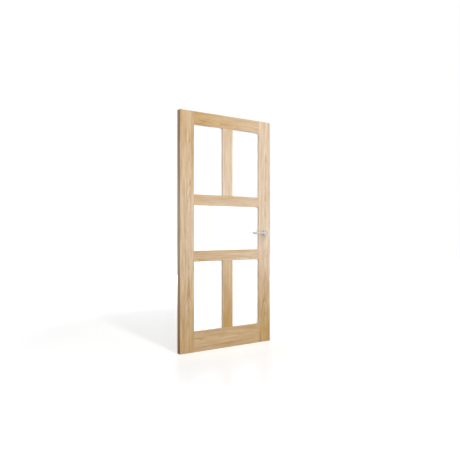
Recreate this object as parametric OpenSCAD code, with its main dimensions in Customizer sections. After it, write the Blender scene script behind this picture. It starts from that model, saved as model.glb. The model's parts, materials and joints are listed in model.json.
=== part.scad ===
// Glazed interior door leaf in solid oak: five lights set two over one over two,
// a pair of lever handles on round roses and a mortice latch in the lock stile.
// Millimetres. The origin is the middle of the leaf's bottom face. +X runs from the
// hinge edge to the lock edge, +Y from the front face to the back face, +Z up.

/* [Leaf] */
// Width of the leaf
leaf_w = 930; // [730:10:1030]
// Height of the leaf
leaf_h = 2015; // [1900:5:2300]
// Thickness of the leaf
leaf_t = 54; // [44:1:68]
// Width of each stile
stile_w = 130; // [115:1:160]
// Height of the top rail
top_rail_h = 110; // [95:1:160]
// Height of each middle rail
mid_rail_h = 91; // [86:1:140]
// Height of the bottom rail
bottom_rail_h = 174; // [140:1:260]
// Width of each mullion
mullion_w = 104; // [70:1:140]
// Height of the middle light between sight lines
middle_light_h = 382; // [300:1:500]
// Chamfer along the leaf's outer edges
edge_chamfer = 2; // [0.5:0.5:4]
// Chamfer round each light on the front face
sight_chamfer = 1.5; // [0.5:0.5:3]

/* [Joinery] */
// Thickness of every tenon
tenon_t = 18; // [12:1:20]
// Length of the rail tenons in the stiles
rail_tenon_l = 66; // [40:1:80]
// Length of the mullion tenons in the rails
mullion_tenon_l = 36; // [25:1:42]
// Shoulder left beside a tenon along a light
tenon_shoulder = 17; // [16:1:22]
// Shoulder left beside a tenon at the top and bottom of the leaf
haunch = 34; // [25:1:45]
// Space between the twin tenons of the bottom rail
twin_gap = 30; // [15:1:45]
// Room for glue round a tenon
glue_gap = 0.1; // [0.05:0.05:0.3]
// Room for glue at the end of a tenon
glue_well = 2; // [1:0.5:4]

/* [Glazing] */
// Thickness of the glass
glass_t = 6; // [4:0.5:10]
// Thickness of the lip in front of the glass
lip_t = 8; // [6:0.5:12]
// Depth of the glazing rebate beyond the sight line
rebate_d = 14; // [12:0.5:15]
// Thickness of the gasket's legs on either face of the glass
gasket_leg_t = 2; // [1:0.5:3]
// Thickness of the gasket's web round the edge of the glass
gasket_web_t = 3; // [2:0.5:5]
// Set-back of the gasket's lips from the sight line
gasket_setback = 1.5; // [0.5:0.5:4]
// Depth of the splay along the sight edge of each glazing bead
bead_splay_d = 24; // [4:1:30]
// Width that the splay opens by at the back face
bead_splay_w = 6; // [1:0.5:10]

/* [Levers] */
// Distance from the lock edge to the lever's axis
backset = 60; // [50:1:70]
// Height of the lever's axis above the lower middle rail
lever_above_rail = 147; // [80:1:300]
// Diameter of the lever's bar
lever_d = 20; // [16:0.5:24]
// Length of the lever from its axis to its tip
lever_l = 160; // [110:1:170]
// Distance from the door's face to the middle of the grip
lever_stand = 42; // [40:1:60]
// Radius of the lever's bend on its centre line
bend_r = 16; // [14:0.5:18]
// Rounding at the lever's tip
tip_r = 3; // [1:0.5:6]
// Angle the lever turns through
lever_travel = 40; // [30:1:50]
// Diameter of the rose
rose_d = 53; // [52:0.5:60]
// Height of the rose
rose_h = 9; // [9:0.5:12]
// Rounding round the rose's front
rose_edge_r = 3; // [2:0.5:4]
// Wall of the rose cover
rose_wall = 1.2; // [0.8:0.1:1.6]
// Thickness of the rose's fixing plate
plate_t = 5; // [4:0.25:5.5]
// Wall of the bearing bush
bush_wall = 2.4; // [1.6:0.1:2.6]
// Width of the bush's flange
bush_flange_w = 2; // [1:0.25:2.25]
// Thickness of the bush's flange
bush_flange_t = 2; // [1:0.25:2.5]
// Distance between the two fixing bolts
bolt_pitch = 38; // [38:0.5:40]
// Diameter of the fixing bolts
bolt_d = 4; // [3:0.5:4.5]
// Length of the threaded posts behind the front plate
post_l = 14; // [8:1:14]
// Width across the square spindle
spindle_w = 8; // [7:0.5:9]
// Reach of the spindle beyond each door face
spindle_reach = 20; // [16:1:20]
// Diameter of the grub screw
grub_d = 5; // [4:0.5:6]

/* [Latch] */
// Thickness of the latch case
case_t = 15; // [14:0.5:16]
// Wall of the latch case
case_wall = 1.5; // [1:0.25:2]
// Depth of the case behind the lever's axis
case_reach = 26; // [25:0.5:30]
// Depth of the case below the lever's axis
case_drop = 21.5; // [20:0.5:30]
// Width of the forend
forend_w = 22; // [20:0.5:24]
// Height of the forend
forend_h = 112; // [105:1:160]
// Thickness of the forend
forend_t = 3; // [2:0.25:4]
// Height of the bolt's nose
nose_h = 20; // [16:0.5:20]
// Length of the bolt's body behind the forend
bolt_body_l = 14; // [10:0.5:18]
// Height of the stop below the bolt's body
bolt_stop_h = 2; // [1:0.25:3]
// Thickness of the bolt's tail and the follower's arm
tail_t = 4; // [3:0.25:6]
// Height of the bolt's tail above its notch
tail_bar_h = 7.5; // [6:0.25:9]
// Length of the lug that the arm pulls
lug_l = 6; // [4:0.25:7]
// Radius of the follower's hub
hub_r = 9.5; // [9:0.25:10.5]
// Radius of the follower's journals in the case
journal_r = 8; // [7.25:0.25:8.5]
// Reach of the follower's arm to the middle of its tip
arm_reach = 16; // [15:0.25:18]
// Radius of the arm's tip
arm_tip_r = 3; // [2:0.25:3.5]
// Diameter of the spring's coil
spring_d = 8; // [7:0.25:9]
// Diameter of the spring's wire
spring_wire_d = 0.9; // [0.6:0.1:1.1]
// Turns of the spring
spring_turns = 7; // [5:1:8]
// Diameter of the case screws
case_screw_d = 2.5; // [2:0.25:3]
// Diameter of the forend screws
forend_screw_d = 4; // [3:0.25:4.5]
// Length of the forend screws
forend_screw_l = 28; // [16:1:35]

/* [Clearances] */
// Running clearance of a round shaft in its hole, on the radius
run_gap = 0.08; // [0.03:0.01:0.1]
// Clearance between sliding flat faces
slide_gap = 0.2; // [0.1:0.05:0.3]
// Clearance round turned pieces that must not touch
free_gap = 0.4; // [0.3:0.05:0.5]
// Clearance of the latch case in its mortice
case_gap = 0.3; // [0.1:0.1:0.8]
// Clearance of a fastener in its hole, on the radius
screw_gap = 0.05; // [0.02:0.01:0.1]
// Depth of the bolt's nose behind the forend's face when drawn back
nose_sink = 0.4; // [0.2:0.1:1]

/* [Hidden] */
$fn = 64;
CUT = 1;
OAK = [0.85, 0.75, 0.61];
OAK_EDGE = [0.82, 0.71, 0.56];
CLEAR = [0.9, 0.95, 0.95, 0.5];
RUBBER = [0.2, 0.2, 0.2];
SATIN = [0.78, 0.77, 0.75];
STEEL = [0.62, 0.63, 0.65];
BRONZE = [0.66, 0.53, 0.34];

// Shares of a fastener's diameter that give its head and its key
head_share = 0.95;
bolt_head_h_share = 0.55;
case_head_share = 0.9;
key_share = 0.29;

// Small walls, rooms and offsets in the lever set
post_wall = 1.5;
bore_room = 1;
neck_start = 0.5;
bolt_end = 2;
grub_point = 1;
spindle_chamfer = 0.5;

// Small walls, rooms, shares and offsets in the latch
nose_flat = 0.22;
notch_gap = 1.5;
lug_lap = 1;
arm_stem_share = 0.6;
spring_lift = 0.5;
spring_close = 1.05;
guide_room = 1.2;
guide_share = 0.66;
bolt_hole_room = 0.6;
case_post_wall = 1.2;
case_screw_share = 0.6;
case_screw_front = 6;
case_screw_side = 2;
case_screw_base = 3;
forend_screw_shift = 1;

// Heights of the rails' edges, from the bottom up
side_light_h = (leaf_h - top_rail_h - 2 * mid_rail_h - bottom_rail_h - middle_light_h) / 2;
lower_mid_z = bottom_rail_h + side_light_h;
middle_z = lower_mid_z + mid_rail_h;
upper_mid_z = middle_z + middle_light_h;
upper_z = upper_mid_z + mid_rail_h;
top_rail_z = leaf_h - top_rail_h;

// Half widths and the lights, each with its middle and its size between sight lines
rail_x = leaf_w / 2 - stile_w;
side_light_w = rail_x - mullion_w / 2;
side_light_x = (rail_x + mullion_w / 2) / 2;
LIGHT_NAMES = ["top_left", "top_right", "middle", "bottom_left", "bottom_right"];
LIGHTS = [
    [-side_light_x, upper_z + side_light_h / 2, side_light_w, side_light_h],
    [side_light_x, upper_z + side_light_h / 2, side_light_w, side_light_h],
    [0, middle_z + middle_light_h / 2, 2 * rail_x, middle_light_h],
    [-side_light_x, bottom_rail_h + side_light_h / 2, side_light_w, side_light_h],
    [side_light_x, bottom_rail_h + side_light_h / 2, side_light_w, side_light_h]
];
TOP_LEFT = 0;
TOP_RIGHT = 1;
MIDDLE = 2;
BOTTOM_LEFT = 3;
BOTTOM_RIGHT = 4;

// Sides of a light, with the turn that brings the lower side to each
SIDES = [["bottom", 0], ["left", 90], ["top", 180], ["right", 270]];

// Depths through the leaf, from the front lip of the rebate to the bead
front_y = -leaf_t / 2;
back_y = leaf_t / 2;
lip_y = front_y + lip_t;
glass_y = lip_y + gasket_leg_t;
bead_y = glass_y + glass_t + gasket_leg_t;

// Tenons of each rail as pairs of lower and upper heights
twin_h = (bottom_rail_h - haunch - tenon_shoulder - twin_gap) / 2;
TOP_TENONS = [[top_rail_z + tenon_shoulder, leaf_h - haunch]];
UPPER_MID_TENONS = [[upper_mid_z + tenon_shoulder, upper_z - tenon_shoulder]];
LOWER_MID_TENONS = [[lower_mid_z + tenon_shoulder, middle_z - tenon_shoulder]];
BOTTOM_TENONS = [
    [haunch, haunch + twin_h],
    [haunch + twin_h + twin_gap, bottom_rail_h - tenon_shoulder]
];
ALL_TENONS = concat(TOP_TENONS, UPPER_MID_TENONS, LOWER_MID_TENONS, BOTTOM_TENONS);
mullion_tenon_w = mullion_w - 2 * tenon_shoulder;

// Lever axis and the turned pieces round it
axis_x = leaf_w / 2 - backset;
axis_z = middle_z + lever_above_rail;
neck_r = lever_d / 2;
neck_end = lever_stand - bend_r;
socket_w = spindle_w + slide_gap;
grub_z = (rose_h + neck_end) / 2;
grub_tip_r = grub_d / 2 - grub_point;
grub_key_r = grub_d * key_share;
grub_key_depth = grub_d / 2;
bush_r = neck_r + run_gap + bush_wall;
plate_hole_r = bush_r + screw_gap;
plate_r = rose_d / 2 - rose_wall - free_gap;
bolt_r = bolt_d / 2;
bolt_head_r = bolt_d * head_share;
bolt_head_h = bolt_d * bolt_head_h_share;
post_r = bolt_r + post_wall;
post_bore_r = post_r + free_gap;
spindle_bore_r = neck_r + bore_room;
cover_hole_r = neck_r + free_gap;

// Latch: travel and heights follow from the follower's arm
half_turn = lever_travel / 2;
bolt_travel = 2 * arm_reach * sin(half_turn);
nose_reach = bolt_travel - nose_sink;
notch_z = arm_reach + arm_tip_r + notch_gap;
bolt_top = notch_z + tail_bar_h;
nose_z = bolt_top - nose_h;
lug_z = arm_reach * cos(half_turn) - lug_lap;
lug_x = arm_reach * sin(half_turn) - arm_tip_r - slide_gap;
lug_back = lug_x - lug_l;
notch_x = lug_x + 2 * arm_tip_r + slide_gap + bolt_travel + notch_gap;
bolt_t = case_t - 2 * case_wall - 2 * slide_gap;
forend_x = backset - forend_t;
bolt_front = forend_x - slide_gap;
bolt_back = bolt_front - bolt_body_l;
case_top = bolt_top + slide_gap + case_wall;
case_mid_z = (case_top - case_drop) / 2;
hub_t = case_t - 2 * case_wall - 2 * slide_gap;
arm_stem_w = 2 * arm_tip_r * arm_stem_share;
spring_z = notch_z + spring_lift;
spring_l = lug_back + case_reach - case_wall;
guide_pin_r = spring_d / 2 - spring_wire_d - guide_room;
guide_pin_l = (spring_l - bolt_travel) * guide_share;
case_bolt_hole_r = bolt_r + bolt_hole_room;
case_screw_r = case_screw_d / 2;
case_screw_head_r = case_screw_d * case_head_share;
case_screw_l = case_t * case_screw_share;
case_post_r = case_screw_r + case_post_wall;
forend_screw_r = forend_screw_d / 2;
forend_screw_head_r = forend_screw_d * head_share;
forend_screw_z = (forend_h - forend_w) / 2 + forend_screw_shift;
case_screw_low = case_post_r + case_wall + case_screw_base - case_drop;
case_screw_rear = case_post_r + case_wall + case_screw_side - case_reach;
CASE_SCREWS = [
    [forend_x - case_post_r - case_screw_front, case_screw_low],
    [case_screw_rear, case_screw_low],
    [case_screw_rear, hub_r]
];

WOOD_NODES = ["hinge_stile", "lock_stile", "top_rail", "upper_mid_rail", "lower_mid_rail",
    "bottom_rail", "upper_mullion", "lower_mullion"];
LEVER_NODES = ["rose_plate", "bush", "rose_cover", "lever", "grub_screw"];
LATCH_NODES = ["spindle", "through_bolts", "latch_case", "latch_cover", "case_screws", "forend",
    "forend_screws", "latch_bolt", "follower", "latch_spring"];

// Helpers

// Box given by its lower and upper corner
module span(low, high) {
    translate(low) cube(high - low);
}

// Rectangle with chamfered corners, centred
module chamfered_rect(w, h, c) {
    polygon([[c - w / 2, -h / 2], [w / 2 - c, -h / 2], [w / 2, c - h / 2], [w / 2, h / 2 - c],
        [w / 2 - c, h / 2], [c - w / 2, h / 2], [-w / 2, h / 2 - c], [-w / 2, c - h / 2]]);
}

// Outline of a turned piece: a rectangle on the axis with its outer top corner rounded
module turned_outline(r, h, edge) {
    square([r - edge, h]);
    square([r, h - edge]);
    translate([r - edge, h - edge]) circle(edge);
}

// Local frame on a door face: x as in the leaf, y up, z out of the face
module on_face(rear) {
    if (rear) {
        mirror([0, 1, 0]) translate([axis_x, front_y, axis_z]) rotate([90, 0, 0]) children();
    } else {
        translate([axis_x, front_y, axis_z]) rotate([90, 0, 0]) children();
    }
}

// Local frame of the latch: the lever's axis, x towards the lock edge, z up
module at_axis() {
    translate([axis_x, 0, axis_z]) children();
}

// Flat shape drawn in x and z, given a thickness centred on the leaf
module upright(t) {
    rotate([90, 0, 0]) linear_extrude(t, center = true) children();
}

// Leaf

// The whole leaf's outer form with its chamfered edges
module leaf_form() {
    intersection() {
        linear_extrude(leaf_h) chamfered_rect(leaf_w, leaf_t, edge_chamfer);
        translate([-leaf_w / 2, 0, leaf_h / 2]) rotate([0, 90, 0])
            linear_extrude(leaf_w) chamfered_rect(leaf_h, leaf_t, edge_chamfer);
    }
}

// Cutter for one light's rebate, open to the back
module rebate_cut(light) {
    half_w = light[2] / 2 + rebate_d;
    half_h = light[3] / 2 + rebate_d;
    translate([light[0], 0, light[1]])
        span([-half_w, lip_y, -half_h], [half_w, back_y + CUT, half_h]);
}

// Sloping outline of the sight chamfer across a light of the given size
module chamfer_outline(size) {
    half = size / 2;
    wide = half + sight_chamfer + CUT;
    polygon([[-wide, front_y - CUT], [wide, front_y - CUT],
        [half, front_y + sight_chamfer], [-half, front_y + sight_chamfer]]);
}

// Cutter for the chamfer round one light on the front face
module chamfer_cut(light) {
    reach = 2 * (sight_chamfer + CUT);
    translate([light[0], 0, light[1]]) intersection() {
        linear_extrude(light[3] + reach, center = true) chamfer_outline(light[2]);
        rotate([0, -90, 0]) linear_extrude(light[2] + reach, center = true)
            chamfer_outline(light[3]);
    }
}

// A piece of the leaf with the named lights cut into its edges
module cut_for_lights(indices) {
    difference() {
        children();
        for (i = indices) {
            rebate_cut(LIGHTS[i]);
            chamfer_cut(LIGHTS[i]);
        }
    }
}

// Mortices for every rail tenon in the stile on the +X side
module stile_mortices() {
    half_t = tenon_t / 2 + glue_gap;
    for (tenon = ALL_TENONS)
        span([rail_x - CUT, -half_t, tenon[0] - glue_gap],
            [rail_x + rail_tenon_l + glue_well, half_t, tenon[1] + glue_gap]);
}

// Mortice for a mullion tenon, going up or down from the edge of a rail
module mullion_mortice(edge_z, up) {
    half_w = mullion_tenon_w / 2 + glue_gap;
    half_t = tenon_t / 2 + glue_gap;
    depth = mullion_tenon_l + glue_well;
    span([-half_w, -half_t, up ? edge_z - CUT : edge_z - depth],
        [half_w, half_t, up ? edge_z + depth : edge_z + CUT]);
}

// Plain stile on the +X side, with its mortices
module stile_blank() {
    difference() {
        intersection() {
            span([rail_x, front_y, 0], [leaf_w / 2, back_y, leaf_h]);
            leaf_form();
        }
        stile_mortices();
    }
}

// Rail between two heights, with tenons at both ends
module rail_blank(low, high, tenons) {
    intersection() {
        span([-rail_x, front_y, low], [rail_x, back_y, high]);
        leaf_form();
    }
    for (tenon = tenons, end = [0, 1])
        mirror([end, 0, 0])
            span([rail_x, -tenon_t / 2, tenon[0]], [rail_x + rail_tenon_l, tenon_t / 2, tenon[1]]);
}

// Mullion between two heights, with a tenon at each end
module mullion_blank(low, high) {
    span([-mullion_w / 2, front_y, low], [mullion_w / 2, back_y, high]);
    span([-mullion_tenon_w / 2, -tenon_t / 2, low - mullion_tenon_l],
        [mullion_tenon_w / 2, tenon_t / 2, high + mullion_tenon_l]);
}

// Room for the latch, the spindle and the fixings in the lock stile
module latch_cuts() {
    at_axis() {
        span([-case_reach - case_gap, -case_t / 2 - case_gap, -case_drop - case_gap],
            [backset + CUT, case_t / 2 + case_gap, case_top + case_gap]);
        forend_plate(forend_t + CUT);
        forend_screw_places() cylinder(r = forend_screw_r + screw_gap, h = forend_screw_l + glue_well);
        rotate([90, 0, 0]) cylinder(r = spindle_bore_r, h = leaf_t + 2 * CUT, center = true);
        for (side = [-1, 1])
            translate([side * bolt_pitch / 2, 0, 0]) rotate([90, 0, 0])
                cylinder(r = post_bore_r, h = leaf_t + 2 * CUT, center = true);
    }
}

module hinge_stile() {
    color(OAK) cut_for_lights([TOP_LEFT, MIDDLE, BOTTOM_LEFT])
        mirror([1, 0, 0]) stile_blank();
}

module lock_stile() {
    color(OAK) cut_for_lights([TOP_RIGHT, MIDDLE, BOTTOM_RIGHT]) difference() {
        stile_blank();
        latch_cuts();
    }
}

module top_rail() {
    color(OAK) cut_for_lights([TOP_LEFT, TOP_RIGHT]) difference() {
        rail_blank(top_rail_z, leaf_h, TOP_TENONS);
        mullion_mortice(top_rail_z, true);
    }
}

module upper_mid_rail() {
    color(OAK) cut_for_lights([TOP_LEFT, TOP_RIGHT, MIDDLE]) difference() {
        rail_blank(upper_mid_z, upper_z, UPPER_MID_TENONS);
        mullion_mortice(upper_z, false);
    }
}

module lower_mid_rail() {
    color(OAK) cut_for_lights([MIDDLE, BOTTOM_LEFT, BOTTOM_RIGHT]) difference() {
        rail_blank(lower_mid_z, middle_z, LOWER_MID_TENONS);
        mullion_mortice(lower_mid_z, true);
    }
}

module bottom_rail() {
    color(OAK) cut_for_lights([BOTTOM_LEFT, BOTTOM_RIGHT]) difference() {
        rail_blank(0, bottom_rail_h, BOTTOM_TENONS);
        mullion_mortice(bottom_rail_h, false);
    }
}

module upper_mullion() {
    color(OAK) cut_for_lights([TOP_LEFT, TOP_RIGHT]) mullion_blank(upper_z, top_rail_z);
}

module lower_mullion() {
    color(OAK) cut_for_lights([BOTTOM_LEFT, BOTTOM_RIGHT]) mullion_blank(bottom_rail_h, lower_mid_z);
}

// Glazing

// Block round the middle of a light, wider than its sight lines by grow, between two depths
module light_block(light, grow, low_y, high_y) {
    half_w = light[2] / 2 + grow;
    half_h = light[3] / 2 + grow;
    translate([light[0], 0, light[1]]) span([-half_w, low_y, -half_h], [half_w, high_y, half_h]);
}

module glass(light) {
    color(CLEAR) light_block(light, rebate_d - gasket_web_t, glass_y, glass_y + glass_t);
}

// Gasket of U section round the edge of one pane
module gasket(light) {
    color(RUBBER) difference() {
        light_block(light, rebate_d, lip_y, bead_y);
        light_block(light, rebate_d - gasket_web_t, glass_y, glass_y + glass_t);
        light_block(light, gasket_setback, lip_y - CUT, bead_y + CUT);
    }
}

// Splayed glazing bead along the lower side of a light of the given width, mitred at both ends.
// Its sight edge lies on the X axis and its section hangs below it.
module bead_along(sight_l) {
    half = sight_l / 2;
    intersection() {
        rotate([90, 0, 90]) linear_extrude(sight_l + 2 * rebate_d, center = true)
            polygon([[bead_y, -rebate_d], [back_y, -rebate_d], [back_y, -bead_splay_w],
                [back_y - bead_splay_d, 0], [bead_y, 0]]);
        upright(2 * leaf_t)
            polygon([[-half - rebate_d, -rebate_d], [half + rebate_d, -rebate_d], [half, 0], [-half, 0]]);
    }
}

module bead(light, turn) {
    upright_side = turn == 90 || turn == 270;
    color(OAK_EDGE) translate([light[0], 0, light[1]]) rotate([0, turn, 0])
        translate([0, 0, -light[upright_side ? 2 : 3] / 2]) bead_along(light[upright_side ? 3 : 2]);
}

// Levers

// Fixing plate of a rose: the front one has threaded posts, the rear one countersunk holes
module rose_plate(rear) {
    color(STEEL) on_face(rear) difference() {
        union() {
            cylinder(r = plate_r, h = plate_t);
            if (!rear)
                for (side = [-1, 1])
                    translate([side * bolt_pitch / 2, 0, -post_l]) cylinder(r = post_r, h = post_l);
        }
        translate([0, 0, -CUT]) cylinder(r = plate_hole_r, h = plate_t + 2 * CUT);
        for (side = [-1, 1])
            translate([side * bolt_pitch / 2, 0, 0]) {
                translate([0, 0, -post_l - CUT])
                    cylinder(r = bolt_r + screw_gap, h = post_l + plate_t + 2 * CUT);
                if (rear)
                    translate([0, 0, plate_t - bolt_head_h])
                        cylinder(r1 = bolt_r + screw_gap, r2 = bolt_head_r + screw_gap, h = bolt_head_h);
            }
    }
}

// Flanged bearing bush that carries the lever's neck in the plate
module bush(rear) {
    color(BRONZE) on_face(rear) rotate_extrude() difference() {
        union() {
            translate([0, neck_start]) square([bush_r, plate_t - neck_start]);
            translate([0, plate_t]) square([bush_r + bush_flange_w, bush_flange_t]);
        }
        square([neck_r + run_gap, plate_t + bush_flange_t + CUT]);
    }
}

// Thin turned cover that hides the plate
module rose_cover(rear) {
    color(SATIN) on_face(rear) rotate_extrude() difference() {
        turned_outline(rose_d / 2, rose_h, rose_edge_r);
        turned_outline(rose_d / 2 - rose_wall, rose_h - rose_wall, rose_edge_r - rose_wall);
        square([cover_hole_r, rose_h + CUT]);
    }
}

// Lever bent from one round bar: neck, bend and grip, with a square socket in the neck
module lever(rear) {
    color(SATIN) on_face(rear) difference() {
        union() {
            translate([0, 0, neck_start]) cylinder(r = neck_r, h = neck_end - neck_start);
            translate([-bend_r, 0, neck_end]) rotate([90, 0, 0])
                rotate_extrude(angle = 90) translate([bend_r, 0]) circle(neck_r);
            translate([-bend_r, 0, lever_stand]) rotate([0, -90, 0])
                rotate_extrude() turned_outline(neck_r, lever_l - bend_r, tip_r);
        }
        span([-socket_w / 2, -socket_w / 2, 0], [socket_w / 2, socket_w / 2, spindle_reach + CUT]);
        translate([0, 0, grub_z]) rotate([90, 0, 0]) cylinder(r = grub_d / 2 + screw_gap, h = lever_d);
    }
}

// Grub screw in the underside of the neck, its tip on the spindle
module grub_screw(rear) {
    start = spindle_w / 2;
    end = neck_r - CUT;
    color(STEEL) on_face(rear) translate([0, 0, grub_z]) rotate([90, 0, 0]) difference() {
        union() {
            translate([0, 0, start + grub_tip_r]) cylinder(r = grub_d / 2, h = end - start - grub_tip_r);
            translate([0, 0, start]) cylinder(r = grub_tip_r, h = grub_tip_r + CUT);
        }
        translate([0, 0, end - grub_key_depth]) cylinder(r = grub_key_r, h = grub_d, $fn = 6);
    }
}

module spindle() {
    half_l = leaf_t / 2 + spindle_reach;
    color(STEEL) at_axis()
        upright(2 * half_l) chamfered_rect(spindle_w, spindle_w, spindle_chamfer);
}

// The two bolts that draw the rear plate to the posts of the front plate
module through_bolts() {
    shank_l = leaf_t + plate_t - bolt_end;
    color(STEEL) on_face(true) for (side = [-1, 1])
        translate([side * bolt_pitch / 2, 0, plate_t - shank_l]) {
            cylinder(r = bolt_r, h = shank_l);
            translate([0, 0, shank_l - bolt_head_h]) cylinder(r1 = bolt_r, r2 = bolt_head_r, h = bolt_head_h);
        }
}

// Latch

// Holes that pass through both faces of the case
module case_holes() {
    rotate([90, 0, 0]) cylinder(r = journal_r + run_gap, h = 2 * case_t, center = true);
    for (side = [-1, 1])
        translate([side * bolt_pitch / 2, 0, 0]) rotate([90, 0, 0])
            cylinder(r = case_bolt_hole_r, h = 2 * case_t, center = true);
}

// Tray of the case: rear face, three walls and the posts for its screws
module latch_case() {
    inner_y = case_t / 2 - case_wall;
    color(STEEL) at_axis() difference() {
        union() {
            difference() {
                span([-case_reach, -inner_y, -case_drop], [forend_x, case_t / 2, case_top]);
                span([case_wall - case_reach, -case_t, case_wall - case_drop],
                    [forend_x + CUT, inner_y, case_top - case_wall]);
            }
            for (place = CASE_SCREWS)
                translate([place[0], inner_y, place[1]]) rotate([90, 0, 0])
                    cylinder(r = case_post_r, h = 2 * inner_y);
        }
        case_holes();
        for (place = CASE_SCREWS)
            translate([place[0], 0, place[1]]) rotate([90, 0, 0])
                translate([0, 0, case_t / 2 - case_screw_l - CUT])
                    cylinder(r = case_screw_r + screw_gap, h = case_screw_l + 2 * CUT);
    }
}

// Front face of the case
module latch_cover() {
    inner_y = case_t / 2 - case_wall;
    color(STEEL) at_axis() difference() {
        span([-case_reach, -case_t / 2, -case_drop], [forend_x, -inner_y, case_top]);
        case_holes();
        for (place = CASE_SCREWS)
            translate([place[0], -inner_y, place[1]]) rotate([90, 0, 0]) {
                translate([0, 0, -CUT]) cylinder(r = case_screw_r + screw_gap, h = case_wall + 2 * CUT);
                cylinder(r1 = case_screw_r + screw_gap, r2 = case_screw_head_r + screw_gap, h = case_wall);
            }
    }
}

// Countersunk screws that hold the cover to the tray
module case_screws() {
    inner_y = case_t / 2 - case_wall;
    color(STEEL) at_axis() for (place = CASE_SCREWS)
        translate([place[0], -inner_y, place[1]]) rotate([90, 0, 0]) {
            translate([0, 0, case_wall - case_screw_l]) cylinder(r = case_screw_r, h = case_screw_l);
            cylinder(r1 = case_screw_r, r2 = case_screw_head_r, h = case_wall);
        }
}

// Plate with round ends, its inner face on the case's front and its outer side towards +X
module forend_plate(t) {
    half_straight = (forend_h - forend_w) / 2;
    translate([forend_x, 0, case_mid_z]) rotate([90, 0, 90]) linear_extrude(t) {
        translate([-forend_w / 2, -half_straight]) square([forend_w, 2 * half_straight]);
        for (end = [-1, 1])
            translate([0, end * half_straight]) circle(forend_w / 2);
    }
}

// Places of the two forend screws, each pointing into the stile
module forend_screw_places() {
    for (end = [-1, 1])
        translate([backset, 0, case_mid_z + end * forend_screw_z]) rotate([0, -90, 0]) children();
}

module forend() {
    slot_y = bolt_t / 2 + slide_gap;
    color(SATIN) at_axis() difference() {
        forend_plate(forend_t);
        span([forend_x - CUT, -slot_y, nose_z - slide_gap],
            [backset + CUT, slot_y, bolt_top + slide_gap]);
        forend_screw_places() {
            translate([0, 0, -CUT]) cylinder(r = forend_screw_r + screw_gap, h = forend_t + 2 * CUT);
            cylinder(r1 = forend_screw_head_r + screw_gap, r2 = forend_screw_r + screw_gap, h = forend_t);
        }
    }
}

module forend_screws() {
    color(SATIN) at_axis() forend_screw_places() {
        cylinder(r = forend_screw_r, h = forend_screw_l);
        cylinder(r1 = forend_screw_head_r, r2 = forend_screw_r, h = forend_t);
    }
}

// Sprung bolt: bevelled nose, body with its stop, notched tail, lug and guide pin
module latch_bolt() {
    tip_x = backset + nose_reach;
    half_t = bolt_t / 2;
    flat_y = -half_t + nose_flat * bolt_t;
    color(SATIN) at_axis() {
        translate([0, 0, nose_z]) linear_extrude(nose_h)
            polygon([[bolt_back, -half_t], [tip_x, -half_t], [tip_x, flat_y],
                [backset + nose_sink, half_t], [bolt_back, half_t]]);
        span([bolt_back, -half_t, nose_z - bolt_stop_h], [bolt_front, half_t, bolt_top]);
        upright(tail_t)
            polygon([[lug_back, lug_z], [lug_x, lug_z], [lug_x, notch_z], [notch_x, notch_z],
                [notch_x, lug_z], [bolt_back, lug_z], [bolt_back, bolt_top], [lug_back, bolt_top]]);
        translate([lug_back, 0, spring_z]) rotate([0, -90, 0])
            cylinder(r = guide_pin_r, h = guide_pin_l);
    }
}

// Follower that the spindle turns, its arm tilted towards the forend at rest
module follower() {
    color(STEEL) at_axis() rotate([0, half_turn, 0]) difference() {
        union() {
            rotate([90, 0, 0]) cylinder(r = hub_r, h = hub_t, center = true);
            rotate([90, 0, 0]) cylinder(r = journal_r, h = case_t, center = true);
            upright(tail_t) {
                translate([-arm_stem_w / 2, 0]) square([arm_stem_w, arm_reach]);
                translate([0, arm_reach]) circle(arm_tip_r);
            }
        }
        rotate([0, -half_turn, 0])
            upright(2 * case_t) square(spindle_w + slide_gap, center = true);
    }
}

// Compression spring round the guide pin, its end turns closed
module latch_spring() {
    sides = 6;
    steps = 20;
    wire_r = spring_wire_d / 2;
    coil_r = spring_d / 2 - wire_r;
    end_gap = slide_gap / 4;
    first = end_gap + wire_r;
    last = spring_l - end_gap - wire_r;
    close = spring_wire_d * spring_close;
    rings = spring_turns * steps;
    function rise(turn) = turn < 1 ? first + close * turn
        : turn > spring_turns - 1 ? last - close * (spring_turns - turn)
        : first + close + (last - first - 2 * close) * (turn - 1) / (spring_turns - 2);
    function wire_point(turn, around) = let (out = coil_r + wire_r * cos(around))
        [out * cos(360 * turn), out * sin(360 * turn), rise(turn) + wire_r * sin(around)];
    points = [for (i = [0 : rings]) for (j = [0 : sides - 1]) wire_point(i / steps, 360 * j / sides)];
    walls = [for (i = [0 : rings - 1]) for (j = [0 : sides - 1])
        let (k = (j + 1) % sides)
        [i * sides + j, (i + 1) * sides + j, (i + 1) * sides + k, i * sides + k]];
    start_cap = [for (j = [0 : sides - 1]) j];
    end_cap = [for (j = [0 : sides - 1]) rings * sides + sides - 1 - j];
    color(STEEL) at_axis() translate([lug_back, 0, spring_z]) rotate([0, -90, 0])
        polyhedron(points, concat(walls, [start_cap], [end_cap]), convexity = 6);
}

hinge_stile();
lock_stile();
top_rail();
upper_mid_rail();
lower_mid_rail();
bottom_rail();
upper_mullion();
lower_mullion();
for (i = [0 : len(LIGHTS) - 1]) {
    glass(LIGHTS[i]);
    gasket(LIGHTS[i]);
    for (side = SIDES)
        bead(LIGHTS[i], side[1]);
}
for (rear = [false, true]) {
    face = rear ? "rear_" : "front_";
    rose_plate(rear);
    bush(rear);
    rose_cover(rear);
    lever(rear);
    grub_screw(rear);
}
spindle();
through_bolts();
latch_case();
latch_cover();
case_screws();
forend();
forend_screws();
latch_bolt();
follower();
latch_spring();
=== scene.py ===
"""Looks of a glazed oak interior door: joined members, glass, gaskets, beads, lever handles and latch."""

import json
import logging
import math
from dataclasses import astuple, dataclass, field
from enum import Enum
from typing import Any, Callable, Optional, Union

import bmesh
import bpy
from mathutils import Matrix, Vector

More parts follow.
